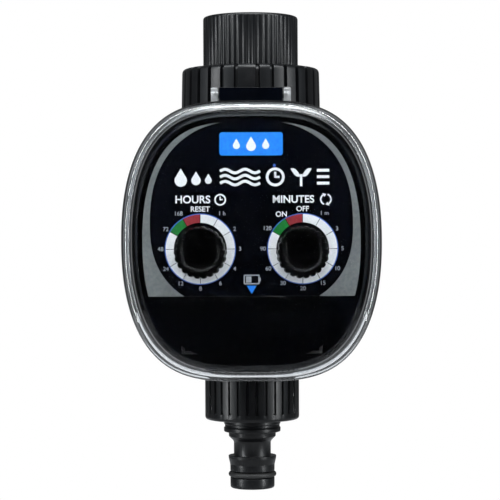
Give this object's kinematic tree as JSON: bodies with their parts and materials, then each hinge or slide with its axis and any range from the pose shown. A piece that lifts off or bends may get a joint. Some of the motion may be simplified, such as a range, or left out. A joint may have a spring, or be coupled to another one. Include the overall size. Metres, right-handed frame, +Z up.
{
  "type": "drip irrigation timer",
  "caption": "Tap-mounted watering timer with two dials under a hinged clear lid, a motor-driven ball valve, a threaded inlet and a push-fit hose nose.",
  "frame": {"origin": "centre of the inlet's mouth, where the tap screws in", "axes": "+Z up along the water's way, front with the dials towards -Y, +X to the right"},
  "size_m": [0.0884, 0.0734, 0.169],
  "materials": {
    "case_black": "moulded ABS, satin black",
    "nut_black": "moulded glass-filled nylon, fine grain, black",
    "dial_black": "moulded ABS, semi-gloss black",
    "label_print": "printed polyester label",
    "lid_clear": "clear polycarbonate",
    "rubber_black": "moulded EPDM",
    "inner_plastic": "glass-filled nylon",
    "gear_plastic": "acetal",
    "seat_plastic": "PTFE",
    "steel": "stainless steel",
    "brass": "turned brass",
    "board_green": "solder-masked laminate",
    "chip_black": "epoxy",
    "cell_jacket": "plain cell jacket",
    "switch_blue": "moulded switch body"
  },
  "bodies": {
    "case": {"nut_washer": "rubber_black", "filter_screen": "steel", "inlet_spigot": "inner_plastic", "spigot_oring": "rubber_black", "inlet_grommet": "rubber_black", "valve_body": "inner_plastic", "valve_seats": "seat_plastic", "stem_orings": "rubber_black", "valve_outlet": "inner_plastic", "outlet_oring": "rubber_black", "outlet_grommet": "rubber_black", "idler_axle": "steel", "gear_motor": "steel", "gearbox_base": "inner_plastic", "gearbox_cover": "inner_plastic", "gearbox_screws": "steel", "limit_switches": "chip_black", "circuit_board": "board_green", "control_chip": "chip_black", "board_screws": "steel", "frequency_switch": "switch_blue", "runtime_switch": "switch_blue", "shaft_seals": "rubber_black", "battery_tray": "inner_plastic", "battery_cells": "cell_jacket", "battery_springs": "steel", "battery_plates": "steel", "front_case": "case_black", "rear_case": "case_black", "case_seal": "rubber_black", "case_screws": "steel", "label_plate": "label_print", "hinge_pin": "nut_black"},
    "swivel_nut": {"swivel_nut": "nut_black"},
    "adapter": {"inlet_adapter": "nut_black", "tap_washer": "rubber_black"},
    "valve": {"valve_ball": "brass", "valve_stem": "steel", "output_gear": "gear_plastic"},
    "idler": {"idler_gear": "gear_plastic"},
    "pinion": {"motor_pinion": "brass", "motor_shaft": "steel"},
    "frequency_knob": {"frequency_dial": "dial_black", "frequency_shaft": "steel"},
    "runtime_knob": {"runtime_dial": "dial_black", "runtime_shaft": "steel"},
    "battery_hatch": {"battery_door": "case_black", "door_seal": "rubber_black"},
    "lid": {"clear_lid": "lid_clear"},
    "connector_seat": {"connector_washer": "rubber_black"},
    "connector": {"hose_connector": "nut_black", "nose_oring": "rubber_black"}
  },
  "joints": [
    {"name": "lid_hinge", "type": "hinge", "parent": "case", "child": "lid", "pos_m": [0, -0.0286, -0.03], "axis": [-1, 0, 0], "range_deg": [0, 105]},
    {"name": "frequency_turn", "type": "hinge", "parent": "case", "child": "frequency_knob", "pos_m": [-0.0174, -0.034, -0.0841], "axis": [0, 1, 0], "continuous": true},
    {"name": "runtime_turn", "type": "hinge", "parent": "case", "child": "runtime_knob", "pos_m": [0.0174, -0.034, -0.0841], "axis": [0, 1, 0], "continuous": true},
    {"name": "battery_hatch_pull", "type": "slide", "parent": "case", "child": "battery_hatch", "axis": [0, -1, 0], "range_m": [0, 0.005]},
    {"name": "valve_turn", "type": "hinge", "parent": "case", "child": "valve", "pos_m": [0, -0.014, -0.0683], "axis": [0, -1, 0], "range_deg": [0, 90]},
    {"name": "idler_turn", "type": "hinge", "parent": "case", "child": "idler", "pos_m": [0.01402, -0.019, -0.06145], "axis": [0, -1, 0], "range_deg": [-310, 10]},
    {"name": "pinion_turn", "type": "hinge", "parent": "case", "child": "pinion", "pos_m": [0.026, -0.019, -0.0683], "axis": [0, -1, 0], "range_deg": [-10, 1090]},
    {"name": "swivel_nut_turn", "type": "hinge", "parent": "case", "child": "swivel_nut", "pos_m": [0, 0, -0.0303], "axis": [0, 0, -1], "range_deg": [0, 1500]},
    {"name": "adapter_unscrew", "type": "slide", "parent": "case", "child": "adapter", "axis": [0, 0, 1], "range_m": [0, 0.00982]},
    {"name": "connector_drop", "type": "slide", "parent": "case", "child": "connector_seat", "axis": [0, 0, -1], "range_m": [0, 0.0133]},
    {"name": "connector_turn", "type": "hinge", "parent": "connector_seat", "child": "connector", "pos_m": [0, 0, -0.1353], "axis": [0, 0, -1], "range_deg": [0, 2600]}
  ],
  "couplings": [
    {"joint": "idler_turn", "follows": "valve_turn", "ratio": -3.3333},
    {"joint": "pinion_turn", "follows": "valve_turn", "ratio": 12},
    {"joint": "adapter_unscrew", "follows": "swivel_nut_turn", "m_per_rad": 0.00036749},
    {"joint": "connector_drop", "follows": "connector_turn", "m_per_rad": 0.00028871}
  ]
}
